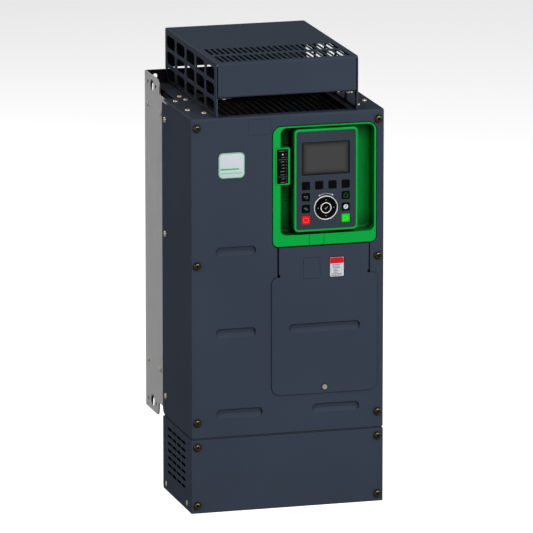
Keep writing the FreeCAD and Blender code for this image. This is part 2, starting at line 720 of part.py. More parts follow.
def cover_screws():
    screw = pan_head(SCREW_R, SCREW_HEIGHT, SCREW_SHANK_R, SCREW_LENGTH)
    places = [(x, z) for x in pair_of(SCREW_X) for z in COVER_SCREW_Z + BOX_SCREW_Z]
    forward = Vector(0, 1, 0)
    return Part.makeCompound([moved(screw, x, -GAP, z, SCREW_TURN, forward) for x, z in places])


def side_screws():
    screw = pan_head(SIDE_SCREW_R, 3.0, SCREW_SHANK_R, SCREW_LENGTH + 2)
    screws = []
    for z in SIDE_SCREW_Z:
        screws.append(moved(screw, -WIDTH / 2 - GAP, SIDE_SCREW_Y, z, -90))
        screws.append(moved(screw, WIDTH / 2 + GAP, SIDE_SCREW_Y, z, 90))
    return Part.makeCompound(screws)


def rivet(radius, rise):
    """A blind rivet along +Y: a low head on a short shank, its seat at y = 0."""
    head = rod("y", radius, -rise, 0, 0, 0)
    head = head.makeFillet(rise - 0.2, edges_at(head, y=-rise))
    return head.fuse(rod("y", RIVET_SHANK_R, -0.01, RIVET_LENGTH, 0, 0)).removeSplitter()


def rivets():
    plain = rivet(*DOME_RIVET)
    flat = rivet(*FLAT_RIVET)
    group = []
    down = Vector(1, 0, 0)
    for side in (-1, 1):
        turn = 90 * side
        for y, z in PLATE_RIVETS:
            group.append(moved(plain, side * (CHASSIS_X + GAP), y, z, turn))
        for y, z in BOX_RIVETS:
            group.append(moved(flat, side * (WIDTH / 2 + GAP), y, z, turn))
        for x, y in TOP_RIVETS:
            group.append(moved(plain, side * x, y, COVER_TOP + GAP, -90, down))
        under = HOOD_FRONT_BOTTOM - SHEET - 2 * GAP
        group.append(moved(plain, side * GUSSET_RIVET[0], GUSSET_RIVET[1], under, 90, down))
    return Part.makeCompound(group)


# --- bezel and what it carries ---
def keypad_bezel():
    front = prism("y", BEZEL_FRONT, SHEET + GAP, bezel_outline(0))
    front = front.makeFillet(0.7, edges_at(front, y=BEZEL_FRONT))
    x0, _, _, z1 = grown(BEZEL, 4.5)
    flange = slab("y", SHEET + GAP, SHEET + GAP + 2.2, x0, SCREW_X - SCREW_SHANK_R - 0.3, BEZEL[2], z1, 3)
    wall = grown(RECESS, BEZEL_WALL)
    tub = slab("y", SHEET, RECESS_FLOOR + BEZEL_WALL, *wall, 12)
    bezel = front.fuse([flange, tub])
    pocket = slab("y", -20, RECESS_FLOOR, *RECESS, 10)
    pocket = pocket.makeFillet(4, edges_at(pocket, y=RECESS_FLOOR))
    bezel = bezel.cut(pocket)
    tongue = slab("y", BEZEL_FRONT - 0.6, RECESS_FLOOR + 1, *PENINSULA, 2.5)
    rim = slab("y", BEZEL_FRONT - 0.6, BEZEL_FRONT + 0.5, *grown(INDICATOR, 2.0), 2.0)
    bezel = bezel.fuse([tongue, rim])
    cuts = [slab("y", -5, BEZEL_FRONT + 1.0, *INDICATOR, 1.0)]
    half = GROOVE / 2
    cuts += [box(x - half, x + half, -5, BEZEL_FRONT + 0.6, BEZEL[2] - 1, RECESS[2] + 1) for x in SEAM_X]
    cuts.append(slab("y", 20, 50, *grown(PLUG, 0.4), 1))
    cuts.append(slab("y", RECESS_FLOOR - 0.1, RECESS_FLOOR + 1.0, *PORT_COVER, 2))
    return bezel.cut(cuts).removeSplitter()


def led_places():
    z = LED_TOP
    places = []
    for count in LED_GROUPS:
        for i in range(count):
            places.append(z)
            z -= LED_PITCH if i < count - 1 else LED_GROUP_STEP
    return places


def indicator_panel():
    limits = grown(INDICATOR, -GAP)
    panel = slab("y", BEZEL_FRONT - 0.2, BEZEL_FRONT + 0.9, *limits, 0.9)
    return panel.cut([rod("y", LED_R + HOLE_GAP, -5, 5, LED_X, z) for z in led_places()])


def status_leds():
    lenses = []
    for z in led_places():
        lens = rod("y", LED_R, BEZEL_FRONT - 0.5, BEZEL_FRONT + 0.8, LED_X, z)
        lenses.append(lens.makeFillet(0.4, edges_at(lens, y=BEZEL_FRONT - 0.5)))
    return Part.makeCompound(lenses)


def port_cover():
    """The small blanking plate over a service port, set into the recess floor."""
    plate = slab("y", RECESS_FLOOR - 0.7, RECESS_FLOOR + 0.9, *grown(PORT_COVER, -0.15), 1.8)
    x = (PORT_COVER[0] + PORT_COVER[1]) / 2
    return plate.cut(box(x - 3.5, x + 3.5, 0, RECESS_FLOOR - 0.2, PORT_COVER[3] - 5, PORT_COVER[3] - 3.5))


def keypad_socket():
    outer = slab("y", RECESS_FLOOR + BEZEL_WALL + GAP, 46, *grown(PLUG, 4), 1)
    return outer.cut(slab("y", 20, 42, *grown(PLUG, 0.4), 1))


# --- keypad ---
def centred(size, by=0.0):
    """The limits of a width and a height centred on the keypad, grown by a margin."""
    x, z = size[0] / 2 + by, size[1] / 2 + by
    return (KEYPAD_X - x, KEYPAD_X + x, KEYPAD_Z - z, KEYPAD_Z + z)


def keypad_shell():
    shell = slab("y", SHELL_FRONT, SHELL_BACK, *centred(SHELL_SIZE), 7)
    shell = shell.makeFillet(1.2, edges_at(shell, y=SHELL_FRONT))
    shell = shell.makeFillet(2.5, edges_at(shell, y=SHELL_BACK))
    shell = shell.cut(slab("y", -20, SHELL_BACK - 2, *centred(FACE_SIZE), 4.5))
    return shell.cut(slab("y", 10, 40, *grown(PLUG, GAP), 1))


def keypad_face():
    face = slab("y", FACE_FRONT, FACE_BACK, *centred(FACE_SIZE, -GAP), 4.4)
    reach = KEY_SIZE / 2 + KEY_GAP
    cuts = []
    for column, row in KEY_PLACES.values():
        x = KEY_COLUMNS[column]
        z = KEY_ROWS[row]
        cuts.append(slab("y", -10, 0, x - reach, x + reach, z - reach, z + reach, 2.2))
    cuts.append(slab("y", -10, 0, *WINDOW, 1.5))
    cuts.append(rod("y", TRIM_R[1] + GAP, -10, 0, WHEEL_X, WHEEL_Z))
    return face.cut(cuts)


def display_window():
    pane = slab("y", FACE_FRONT + 0.3, FACE_FRONT + 1.5, *grown(WINDOW, -GAP), 1.4)
    ledge = slab("y", FACE_BACK + GAP, FACE_BACK + 1.0, *grown(WINDOW, 2.0), 1.4)
    core = slab("y", FACE_FRONT + 1.4, FACE_BACK + 0.5, *grown(WINDOW, -GAP), 1.4)
    return pane.fuse([ledge, core]).removeSplitter()


def lcd_module():
    return slab("y", FACE_BACK + 1.0 + GAP, BOARD_Y - GAP, *grown(WINDOW, 1.5), 1.0)


def keypad_board():
    board = slab("y", BOARD_Y, BOARD_Y + 1.6, *centred(FACE_SIZE, -3), 3)
    holes = [rod("y", 1.6, 0, 5, KEYPAD_X + x, KEYPAD_Z + z) for x in pair_of(42) for z in pair_of(73)]
    return board.cut(holes)


def keypad_plug():
    return slab("y", BOARD_Y + 1.6 + GAP, 40, *PLUG, 1)


def key(column, row):
    """A key cap that passes through the face, with a retaining flange and a stem behind it."""
    x = KEY_COLUMNS[column]
    z = KEY_ROWS[row]
    half = KEY_SIZE / 2
    cap = slab("y", KEY_FRONT, FACE_BACK + 0.5, x - half, x + half, z - half, z + half, 2)
    cap = cap.makeFillet(0.6, edges_at(cap, y=KEY_FRONT))
    wide = half + 1.0
    flange = slab("y", FACE_BACK + GAP, FACE_BACK + 1.0, x - wide, x + wide, z - wide, z + wide, 2)
    stem = rod("y", 3, FACE_BACK + 0.9, 0.5, x, z)
    return cap.fuse([flange, stem]).removeSplitter()


def wheel_trim():
    """The pale ring around the navigation wheel, clipped behind the face."""
    ring = rod("y", TRIM_R[1], FACE_FRONT - 0.9, FACE_BACK + 0.5, WHEEL_X, WHEEL_Z)
    ring = ring.makeFillet(0.5, edges_at(ring, y=FACE_FRONT - 0.9))
    ring = ring.fuse(rod("y", TRIM_R[1] + 1.2, FACE_BACK + GAP, FACE_BACK + 1.0, WHEEL_X, WHEEL_Z))
    return ring.cut(rod("y", TRIM_R[0], -20, 20, WHEEL_X, WHEEL_Z)).removeSplitter()


def nav_wheel():
    wheel = rod("y", WHEEL_R[1], FACE_FRONT - 1.2, FACE_BACK + 0.6, WHEEL_X, WHEEL_Z)
    wheel = wheel.makeFillet(0.7, edges_at(wheel, y=FACE_FRONT - 1.2))
    return wheel.cut(rod("y", WHEEL_R[0], -20, 20, WHEEL_X, WHEEL_Z))


def ok_button():
    cap = rod("y", OK_R, FACE_FRONT - 1.5, FACE_BACK + 0.8, WHEEL_X, WHEEL_Z)
    cap = cap.makeFillet(0.6, edges_at(cap, y=FACE_FRONT - 1.5))
    return cap.fuse(rod("y", 3, FACE_BACK + 0.7, 0.5, WHEEL_X, WHEEL_Z)).removeSplitter()


# --- access cover ---
def access_cover():
    """A T-shaped plate: a wide door over the opening, and a tongue with a rolled top edge to turn on."""
    x0, x1, z0, z1 = DOOR
    outline = [
        (x0, z0, DOOR_FOOT_R),
        (x1, z0, DOOR_FOOT_R),
        (x1, z1, DOOR_TOP_R),
        (TONGUE[1], z1, 0),
        (TONGUE[1], TONGUE_ROLL_Z, 0),
        (TONGUE[0], TONGUE_ROLL_Z, 0),
        (TONGUE[0], z1, 0),
        (x0, z1, DOOR_TOP_R),
    ]
    front = DOOR_BACK - SHEET
    door = prism("y", front, DOOR_BACK, outline)
    door = door.makeFillet(0.5, edges_at(door, y=front))
    roll = rod("x", SHEET / 2, *TONGUE, DOOR_BACK - SHEET / 2, TONGUE_ROLL_Z)
    lip = grown((*DOOR_OPENING[:3], TONGUE_TOP - 6), -2.4)
    ring = slab("y", front + 0.5, 6, *lip, 4).cut(slab("y", DOOR_BACK - 0.2, 20, *grown(lip, -SHEET), 3))
    door = door.fuse([ring, roll]).removeSplitter()
    door = pressed_bar(door, *DOOR_BAR, front)
    cuts = [rod("y", DOOR_SHANK_R + HOLE_GAP, -10, 10, *DOOR_SCREW)]
    cuts.append(groove(BLANK_LABEL, 2.5, front))
    cuts.append(groove(grown(LABEL, 1.6), 2.5, front))
    wide, high = DOOR_NOTCH
    for x in (TONGUE[0], TONGUE[1] - wide):
        cuts.append(box(x - 0.01, x + wide + 0.01, -10, 10, z1, z1 + high))
    return door.cut(cuts)


def access_cover_screw():
    """The slotted quarter-turn fastener at the foot of the access cover."""
    seat = DOOR_BACK - SHEET - GAP
    x, z = DOOR_SCREW
    head = rod("y", DOOR_SCREW_R, seat - 2.6, seat, x, z)
    head = head.makeFillet(1.2, edges_at(head, y=seat - 2.6))
    head = head.cut(box(x - 6, x + 6, seat - 5, seat - 1.3, z - 0.7, z + 0.7))
    return head.fuse(rod("y", DOOR_SHANK_R, seat - 0.01, 8, x, z)).removeSplitter()


def flat_label(limits, radius, front, thickness):
    return slab("y", front - thickness, front, *limits, radius)


# --- inside the chassis ---
def heat_sink():
    """An extruded comb of fins on a thick base, running the height of the rear duct."""
    half, base_y, fin_y, end_y, z0, z1 = HEAT_SINK
    pitch = (2 * half - FIN_THICKNESS) / (FIN_COUNT - 1)
    outline = [(-half, base_y, 0)]
    for i in range(FIN_COUNT):
        x = -half + i * pitch
        outline += [(x, fin_y, 0)] if i else []
        outline += [(x, end_y, 0), (x + FIN_THICKNESS, end_y, 0)]
        outline += [(x + FIN_THICKNESS, fin_y, 0)] if i < FIN_COUNT - 1 else []
    outline.append((half, base_y, 0))
    return prism("z", z0, z1, outline)


def fan_frame(x):
    half = FAN_SIZE / 2
    top = FAN_BOTTOM + FAN_HEIGHT
    frame = slab("z", FAN_BOTTOM, top, x - half, x + half, FAN_Y - half, FAN_Y + half, 6)
    frame = frame.cut(rod("z", FAN_BORE_R, 0, FAR, x, FAN_Y))
    struts = [
        box(x - 58, x + 58, FAN_Y - 3, FAN_Y + 3, top - 5, top),
        box(x - 3, x + 3, FAN_Y - 58, FAN_Y + 58, top - 5, top),
    ]
    frame = frame.fuse(struts + [rod("z", 22, top - 8, top, x, FAN_Y)]).removeSplitter()
    corner = pair_of(FAN_SIZE / 2 - 7)
    holes = [rod("z", 2.2, 0, FAR, x + across, FAN_Y + along) for across in corner for along in corner]
    return frame.cut(holes + [rod("z", 2.05, 0, FAR, x, FAN_Y)])


def fan_frames():
    return Part.makeCompound([fan_frame(-FAN_X), fan_frame(FAN_X)])


def fan_rotor(x):
    top = FAN_BOTTOM + FAN_HEIGHT
    low = FAN_BOTTOM + 2.5
    hub = rod("z", FAN_HUB_R, low, top - 10, x, FAN_Y)
    hub = hub.makeFillet(2, edges_at(hub, z=low))
    limit = rod("z", FAN_BORE_R - 2, low, top - 12, 0, 0).cut(rod("z", 18, 0, FAR, 0, 0))
    blades = []
    for i in range(FAN_BLADES):
        blade = box(19, 60, -1.1, 1.1, -24, 24)
        blade.rotate(Vector(0, 0, 0), Vector(1, 0, 0), 48)
        blade.translate(Vector(0, 0, (low + top - 12) / 2))
        blade.rotate(Vector(0, 0, 0), Vector(0, 0, 1), 360 * i / FAN_BLADES)
        blade = blade.common(limit)
        blade.translate(Vector(x, FAN_Y, 0))
        blades.append(blade)
    return hub.fuse(blades + [rod("z", 2, top - 11, top - 1, x, FAN_Y)]).removeSplitter()


def power_modules():
    """The rectifier and inverter modules that bolt to the heat sink through the panel's window."""
    modules = []
    for z in (360.0, 435.0, 510.0):
        body = slab("y", 150, HEAT_SINK[1] - GAP, -62, 62, z, z + 55, 3)
        studs = [rod("y", 4, 145, 151, x, z + 27) for x in (-40, 0, 40)]
        modules.append(body.fuse(studs).removeSplitter())
    return Part.makeCompound(modules)


def power_board():
    half, y, z0, z1 = POWER_BOARD
    board = slab("y", y, y + 1.6, -half, half, z0, z1, 4)
    return board.cut([rod("y", 2.2, 0, FAR, x, z) for x in pair_of(half - 7) for z in (z0 + 10, z1 - 10)])


def capacitors():
    cans = []
    for x in (-92.0, -42.0):
        for z in (372.0, 424.0, 476.0, 528.0):
            can = rod("y", 23, 74, POWER_BOARD[1] - GAP, x, z)
            cans.append(can.makeFillet(2, edges_at(can, y=74)))
    return Part.makeCompound(cans)


def control_board():
    x0, x1, y, z0, z1 = CONTROL_BOARD
    return slab("y", y, y + 1.6, x0, x1, z0, z1, 3)


def control_terminals():
    """Pluggable terminal strips behind the access cover."""
    back = CONTROL_BOARD[2] - GAP
    strips = []
    for x0, ways, z in ((2.0, 14, 232.0), (2.0, 18, 268.0), (30.0, 10, 310.0)):
        long = ways * 6.2
        strip = slab("y", 30, back, x0, x0 + long, z, z + 15, 1)
        pockets = []
        for i in range(ways):
            x = x0 + (i + 0.5) * 6.2
            pockets += [rod("y", 1.9, 20, 38, x, z + 10.6), box(x - 1.8, x + 1.8, 20, 40, z + 2.6, z + 6.4)]
        strips.append(strip.cut(pockets))
    return Part.makeCompound(strips)


def busbars():
    bars = []
    for i in range(6):
        x = (i - 2.5) * 40.0
        bar = slab("y", 124, 127, x - 9, x + 9, 150, 345, 2)
        foot = box(x - 9, x + 9, 124, 139.8, 342, 345)
        bars.append(bar.fuse(foot).removeSplitter())
    return Part.makeCompound(bars)


def power_terminals():
    """The mains and motor terminal block above the connection box."""
    block = slab("y", 74, 123.8, -125, 125, 140, 184, 3)
    cuts = []
    for i in range(8):
        x = (i - 3.5) * 31.0
        cuts += [box(x - 12, x + 12, 70, 104, 130, 158), rod("y", 8, 70, 96, x, 171)]
    return block.cut(cuts)


def dc_choke():
    """A laminated core with a winding around its middle leg."""
    core = slab("y", 70, 110, -62, 62, 200, 312, 2)
    core = core.cut([box(-40, -15, 60, 120, 222, 290), box(15, 40, 60, 120, 222, 290)])
    winding = slab("y", 62, 118, -37, 37, 225, 287, 5)
    winding = winding.cut(box(-15 - GAP, 15 + GAP, 70 - GAP, 110 + GAP, 200, 312))
    return Part.makeCompound([core, winding])


def build():
    os.makedirs("parts", exist_ok=True)
    save("wall_plate", wall_plate())
    save("side_plate_right", side_plate())
    save("side_plate_left", mirrored(side_plate()))
    save("top_plate", top_plate())
    save("bottom_plate", bottom_plate())
    save("front_rails", front_rails())
    save("mounting_panel", mounting_panel())
    save("front_cover", front_cover())
    save("top_grille", top_grille())
    save("hood_top", hood_top())
    save("hood_side_right", hood_side())
    save("hood_side_left", mirrored(hood_side()))
    save("box_cover", box_cover())
    save("box_tray", box_tray())
    save("gland_plate", gland_plate())
    save("cable_glands", cable_glands())
    save("gland_nuts", gland_nuts())
    save("cover_screws", cover_screws())
    save("side_screws", side_screws())
    save("rivets", rivets())
    save("keypad_bezel", keypad_bezel())
    save("indicator_panel", indicator_panel())
    save("status_leds", status_leds())
    save("port_cover", port_cover())
    save("keypad_socket", keypad_socket())
    save("keypad_shell", keypad_shell())
    save("keypad_face", keypad_face())
    save("display_window", display_window())
    save("lcd_module", lcd_module())
    save("keypad_board", keypad_board())
    save("keypad_plug", keypad_plug())
    for name, (column, row) in KEY_PLACES.items():
        save(name, key(column, row))
    save("wheel_trim", wheel_trim())
    save("nav_wheel", nav_wheel())
    save("ok_button", ok_button())
    save("access_cover", access_cover())
    save("access_cover_screw", access_cover_screw())
    save("badge", flat_label(BADGE, BADGE_R, -GAP, 1.0))
    save("info_label", flat_label(LABEL, 2.0, DOOR_BACK - SHEET - 0.02, 0.3))
    save("heat_sink", heat_sink())
    save("fan_frames", fan_frames())
    save("fan_rotor_left", fan_rotor(-FAN_X))
    save("fan_rotor_right", fan_rotor(FAN_X))
    save("power_modules", power_modules())
    save("power_board", power_board())
    save("capacitors", capacitors())
    save("control_board", control_board())
    save("control_terminals", control_terminals())
    save("busbars", busbars())
    save("power_terminals", power_terminals())
    save("dc_choke", dc_choke())


build()
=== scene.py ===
import json
import math

import bmesh
import bpy
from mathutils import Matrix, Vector


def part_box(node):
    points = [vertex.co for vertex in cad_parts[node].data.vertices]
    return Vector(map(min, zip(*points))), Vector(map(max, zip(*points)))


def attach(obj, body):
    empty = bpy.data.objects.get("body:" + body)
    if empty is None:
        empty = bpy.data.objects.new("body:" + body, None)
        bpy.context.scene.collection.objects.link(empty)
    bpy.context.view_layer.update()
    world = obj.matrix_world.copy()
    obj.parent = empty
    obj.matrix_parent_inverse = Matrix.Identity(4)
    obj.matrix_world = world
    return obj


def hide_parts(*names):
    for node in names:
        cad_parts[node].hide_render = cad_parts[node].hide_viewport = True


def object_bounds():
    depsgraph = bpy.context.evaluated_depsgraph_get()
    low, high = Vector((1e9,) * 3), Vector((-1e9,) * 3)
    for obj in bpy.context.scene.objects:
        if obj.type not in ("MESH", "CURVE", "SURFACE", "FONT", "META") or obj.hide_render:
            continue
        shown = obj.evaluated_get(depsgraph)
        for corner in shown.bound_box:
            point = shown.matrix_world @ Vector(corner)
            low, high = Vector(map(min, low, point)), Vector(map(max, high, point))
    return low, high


# The looks of a wall-hung variable frequency drive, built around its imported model. Lengths are in
# metres in the model's own frame: +Z is up, the front faces -Y, and the wall is the plane y = 0.

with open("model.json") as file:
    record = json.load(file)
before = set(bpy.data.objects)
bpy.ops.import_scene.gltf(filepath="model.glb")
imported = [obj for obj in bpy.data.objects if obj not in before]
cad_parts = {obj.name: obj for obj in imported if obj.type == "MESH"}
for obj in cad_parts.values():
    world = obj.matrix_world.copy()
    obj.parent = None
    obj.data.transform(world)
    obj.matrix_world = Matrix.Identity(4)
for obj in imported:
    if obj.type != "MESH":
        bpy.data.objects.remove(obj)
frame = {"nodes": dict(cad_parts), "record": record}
cad_low, cad_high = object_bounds()
MM = 0.001

# --- camera and light ---
CAMERA_AZIMUTH = -15.9
CAMERA_ELEVATION = 12.91
CAMERA_DISTANCE = 11.07
CAMERA_LENS = 466.9
CAMERA_PIVOT_Z = -0.004
CAMERA_AIM = Vector((-0.0321, -0.3064, 0.0077))
SOFTBOXES = (
    # name, azimuth, elevation, distance, size, power
    ("key_light", 14, 27, 4.6, 3.2, 196),
    ("left_light", -85, 18, 4.2, 2.8, 44),
    ("right_light", 105, 22, 4.2, 2.8, 48),
    ("rear_light", 205, 28, 4.2, 3.0, 56),
)
ROOM_LIGHT = 0.12
FLOOR_REACH = 90.0
FLOOR_DROP = 0.25
FLOOR_TONE = (246, 246, 246)
FLOOR_SEEN = (130, 130, 130)
FLOOR_GLOW = 0.6

# --- shading: samples, and how far nearby surfaces reach to paint shade into a finish ---
BEVEL_SAMPLES = 6
SHADE_SAMPLES = 5
SMOOTH_BELOW = math.radians(32)
SHADE_REACH = 95 * MM
WELL_REACH = 32 * MM
FOLD_REACH = 30 * MM
CORNER_REACH = 9 * MM
GAP_REACH = 3 * MM

# --- printed marks: how far they stand proud of a face and reach into it, and their line widths ---
INK = 0.12 * MM
SINK = 0.3 * MM
MARK_LINE = 0.55 * MM
FINE_LINE = 0.65 * MM
ROW_LINE = 0.75 * MM
BOLD_LINE = 0.8 * MM
HOUSE_LINE = 0.9 * MM


# --- materials ---
def tint(red, green, blue, gain=1.0):
    """A linear colour from 0 to 255 display values, brightened or darkened by gain."""
    channels = []
    for value in (red, green, blue):
        value /= 255
        value = value / 12.92 if value <= 0.04045 else ((value + 0.055) / 1.055) ** 2.4
        channels.append(min(value * gain, 1.0))
    return (*channels, 1.0)


class Look:
    """One procedural material, drawn on the object's own coordinates."""

    def __init__(self, name):
        self.material = bpy.data.materials.new("look_" + name)
        self.material.use_nodes = True
        self.tree = self.material.node_tree
        self.shader = self.tree.nodes["Principled BSDF"]
        self.place = self.node("ShaderNodeTexCoord").outputs["Object"]

    def node(self, kind, inputs=(), **settings):
        """Add a node, set its properties, and feed its inputs from (name or number, value) pairs."""
        made = self.tree.nodes.new(kind)
        for key, value in settings.items():
            setattr(made, key, value)
        for key, value in inputs:
            self.feed(made.inputs[key], value)
        return made

    def feed(self, socket, value):
        if isinstance(value, bpy.types.NodeSocket):
            self.tree.links.new(value, socket)
        else:
            socket.default_value = value

    def set(self, **values):
        for key, value in values.items():
            self.feed(self.shader.inputs[key.replace("_", " ")], value)

    def noise(self, scale, detail=3.0, stretch=(1, 1, 1)):
        place = self.node("ShaderNodeMapping", [("Vector", self.place), ("Scale", stretch)])
        inputs = [("Vector", place.outputs[0]), ("Scale", scale), ("Detail", detail)]
        return self.node("ShaderNodeTexNoise", inputs).outputs["Fac"]

    def cells(self, scale):
        """A random shade for each cell of a Voronoi pattern, such as zinc spangle."""
        inputs = [("Vector", self.place), ("Scale", scale)]
        return self.node("ShaderNodeTexVoronoi", inputs).outputs["Color"]

    def remap(self, value, low, high, to_low=0.0, to_high=1.0):
        inputs = [("Value", value), (1, low), (2, high), (3, to_low), (4, to_high)]
        return self.node("ShaderNodeMapRange", inputs).outputs["Result"]

    def mix(self, share, first, second):
        inputs = [(0, share), (6, first), (7, second)]
        return self.node("ShaderNodeMix", inputs, data_type="RGBA").outputs[2]

    def math(self, operation, first, second=0.0):
        return self.node("ShaderNodeMath", [(0, first), (1, second)], operation=operation).outputs[0]

    def rounded_normal(self, radius):
        bevel = self.node("ShaderNodeBevel", [("Radius", radius)], samples=BEVEL_SAMPLES)
        return bevel.outputs["Normal"]

    def edges(self, rounded):
        """1 along the object's edges and 0 on its faces: the mask of the painted edge highlight."""
        flat = self.node("ShaderNodeNewGeometry").outputs["Normal"]
        facing = self.node("ShaderNodeVectorMath", [(0, rounded), (1, flat)], operation="DOT_PRODUCT")
        return self.remap(facing.outputs["Value"], 0.995, 0.86)

    def painted_shade(self, body, shade_tone, reach, closed, open_air):
        """Painted shade: let a colour fall to a deep tone where nearby surfaces close the view within
        reach.
        """
        inputs = [("Distance", reach)]
        seen = self.node("ShaderNodeAmbientOcclusion", inputs, samples=SHADE_SAMPLES).outputs["AO"]
        return self.mix(self.remap(seen, closed, open_air), shade_tone, body)

    def front_shade_mask(self):
        """1 on faces square to the front, where a side plate shows its cut edge, and 0 elsewhere: the
        mask of painted shade on those edges.
        """
        normal = self.node("ShaderNodeNewGeometry").outputs["Normal"]
        inputs = [(0, normal), (1, (0, -1, 0))]
        facing = self.node("ShaderNodeVectorMath", inputs, operation="DOT_PRODUCT")
        return self.remap(facing.outputs["Value"], 0.7, 0.95)

    def bump(self, height, depth, normal):
        inputs = [("Height", height), ("Distance", depth), ("Strength", 1.0), ("Normal", normal)]
        self.set(Normal=self.node("ShaderNodeBump", inputs).outputs["Normal"])


def surface(
    name,
    colour,
    spread=0.05,
    patch=7.0,
    grain=700.0,
    depth=0.05 * MM,
    rough=(0.42, 0.56),
    metal=0.0,
    shine=0.2,
    edge_highlight=1.25,
    radius=0.6 * MM,
    painted_shade=0.0,
    closed=(0.3, 0.85),
):
    """A finish with uneven tone, fine grain in its relief, softened edges with a painted highlight, and
    painted shade in recesses.
    """
    look = Look(name)
    cloud = look.remap(look.noise(patch, 4.0), 0.3, 0.7)
    fine = look.noise(grain, 2.0)
    body = look.mix(cloud, tint(*colour, 1 - spread), tint(*colour, 1 + spread))
    body = look.mix(look.remap(fine, 0.35, 0.65, 0.0, 0.3), body, tint(*colour, 1 - 2 * spread))
    rounded = look.rounded_normal(radius)
    # Painted highlight: edges lighter by the edge gain, as light catches the bends; a gain below 1
    # darkens them instead.
    body = look.mix(look.edges(rounded), body, tint(*colour, edge_highlight))
    # Painted shade: the colour falls towards near black where nearby surfaces close in within the given
    # reach.
    look.body = look.painted_shade(body, tint(*colour, 0.04), painted_shade, *closed) if painted_shade else body
    look.set(Base_Color=look.body, Metallic=metal, Specular_IOR_Level=shine)
    look.set(Roughness=look.remap(fine, 0.3, 0.7, *rough))
    look.bump(fine, depth, rounded)
    return look


def galvanised(name, colour):
    """Zinc-coated sheet: a dull spangle under fine rolling lines, with painted shade on the cut edges
    that face the front and in its folds.
    """
    look = surface(name, colour, spread=0.03, patch=5.0, grain=500.0, rough=(0.46, 0.6), edge_highlight=1.12)
    spangle = look.cells(85.0)
    rolling = look.noise(260.0, 2.0, (1.0, 1.0, 0.04))
    shade = look.mix(spangle, tint(*colour, 0.93), tint(*colour, 1.07))
    body = look.mix(0.55, look.body, shade)
    streaks = look.remap(rolling, 0.35, 0.65, 0.0, 0.18)
    body = look.mix(streaks, body, tint(*colour, 0.8))
    # Painted shade: the cut edges facing the front go near black.
    body = look.mix(look.front_shade_mask(), body, tint(*colour, 0.12))
    # Painted shade in folds and behind other parts.
    body = look.painted_shade(body, tint(*colour, 0.03), FOLD_REACH, 0.35, 0.9)
    look.set(Base_Color=body, Metallic=0.1)
    look.set(Roughness=look.remap(spangle, 0.0, 1.0, 0.4, 0.58))
    return look


def shaded_plastic(name, colour, shade_tone):
    """Moulded plastic with painted shade: its recesses, corners and gaps fall away to a deep tone."""
    look = surface(name, colour, spread=0.03, grain=1100.0, rough=(0.4, 0.52), shine=0.08, edge_highlight=1.12)
    body = look.painted_shade(look.body, tint(*shade_tone), WELL_REACH, 0.27, 0.85)
    darkest_shade = tint(*shade_tone, 0.05)
    body = look.painted_shade(body, darkest_shade, CORNER_REACH, 0.15, 0.5)
    look.set(Base_Color=look.painted_shade(body, darkest_shade, GAP_REACH, 0.4, 0.75))
    return look


# How far in from the display's sides its painted shade begins and ends, and how steeply it falls.
EDGE_SHADE_INNER = 14 * MM
EDGE_SHADE_OUTER = 3 * MM
EDGE_SHADE_FALL = 2.2


def screen(name, node):
    """A reflective display, mid grey in the middle, with painted shade darkening it towards its edges.
    """
    look = surface(name, (64, 64, 64), spread=0.02, rough=(0.16, 0.24), depth=0.0, shine=0.4, edge_highlight=0.6)
    low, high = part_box(node)
    centre = (low + high) / 2
    half = (high - low) / 2
    spots = look.node("ShaderNodeSeparateXYZ", [("Vector", look.place)]).outputs
    shares = []
    for axis, spot in ((0, spots["X"]), (2, spots["Z"])):
        offset = look.math("ABSOLUTE", look.math("SUBTRACT", spot, centre[axis]))
        shares.append(look.remap(offset, half[axis] - EDGE_SHADE_INNER, half[axis] - EDGE_SHADE_OUTER))
    edge_shade = look.math("MAXIMUM", *shares)
    # Painted shade: near black towards the display's sides.
    look.set(Base_Color=look.mix(look.math("POWER", edge_shade, EDGE_SHADE_FALL), look.body, tint(9, 9, 9)))
    return look


